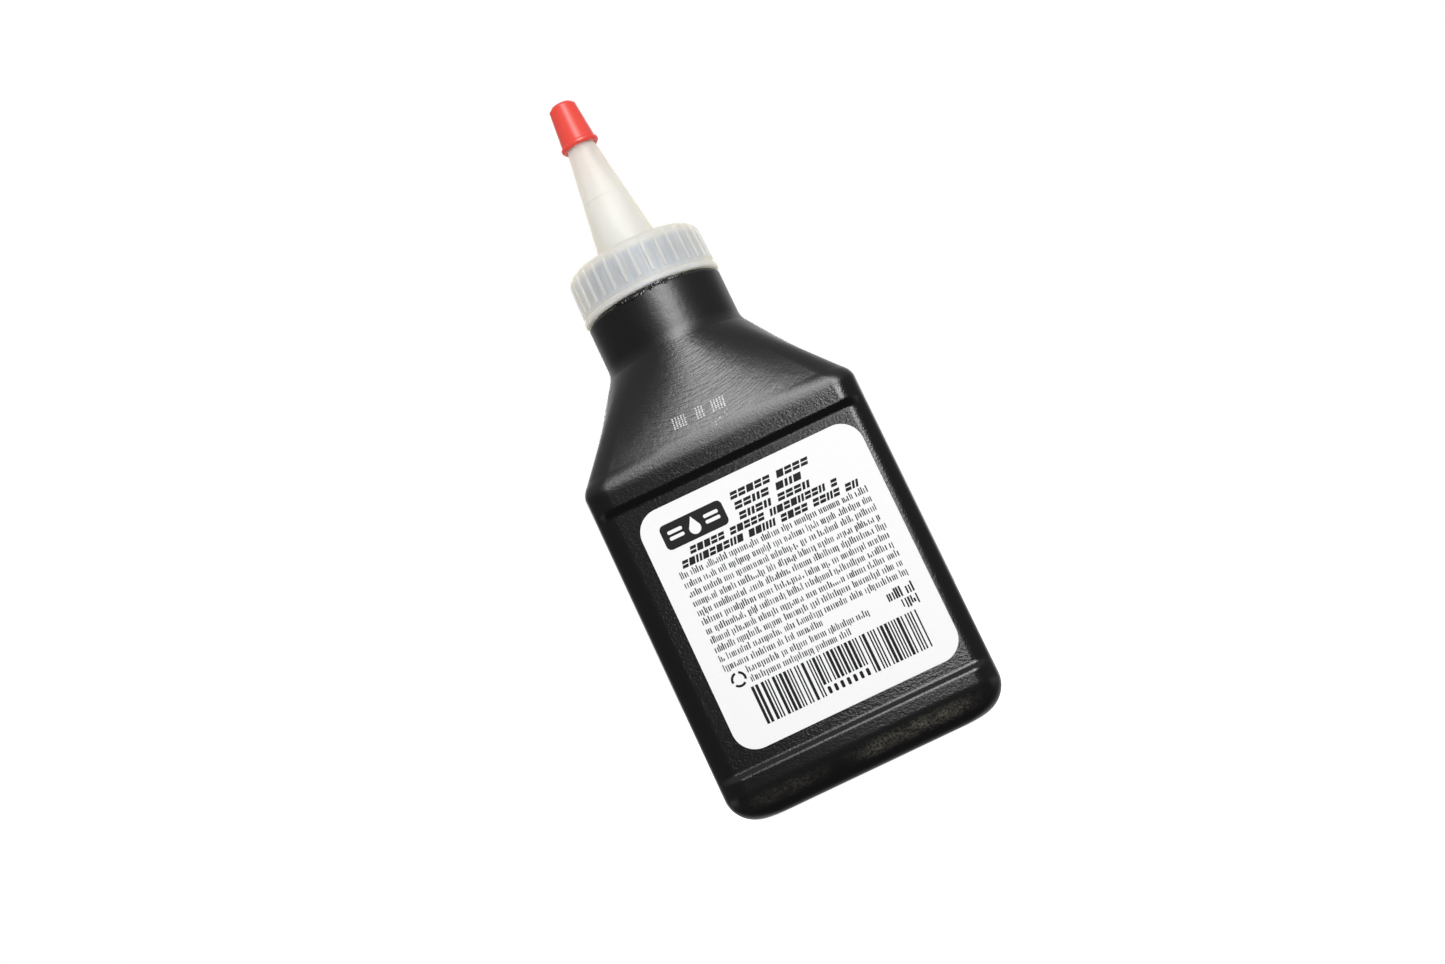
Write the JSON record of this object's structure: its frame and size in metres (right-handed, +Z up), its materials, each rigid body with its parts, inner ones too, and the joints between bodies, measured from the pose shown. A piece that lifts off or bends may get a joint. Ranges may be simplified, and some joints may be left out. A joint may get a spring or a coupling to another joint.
{
  "type": "gear oil bottle",
  "caption": "Upright flat-sided black oil bottle with recessed panels, a ribbed screw closure with a long tapered pouring spout, and a small push-on tip cap.",
  "frame": {"origin": "middle of the footprint, on the plane of the standing ring", "axes": "+Z up along the neck and spout, -Y towards the labelled front, +X to the right seen from the front"},
  "size_m": [0.0596, 0.04, 0.154],
  "materials": {
    "black_shell": "black blown polyethylene, satin, with a fine grain on the flat faces",
    "natural_closure": "uncoloured moulded polyethylene, cloudy and a little see-through",
    "red_tip": "red moulded plastic with a soft gloss",
    "label_paper": "white coated paper with black print"
  },
  "bodies": {
    "bottle_body": {"bottle": "black_shell", "label": "label_paper"},
    "closure_body": {"spout_cap": "natural_closure"},
    "tip_body": {"tip_cap": "red_tip"}
  },
  "joints": [
    {"name": "closure_lift", "type": "slide", "parent": "bottle_body", "child": "closure_body", "axis": [0, 0, 1], "range_m": [0, 0.025]},
    {"name": "tip_pull", "type": "slide", "parent": "closure_body", "child": "tip_body", "axis": [0, 0, 1], "range_m": [0, 0.015]}
  ]
}
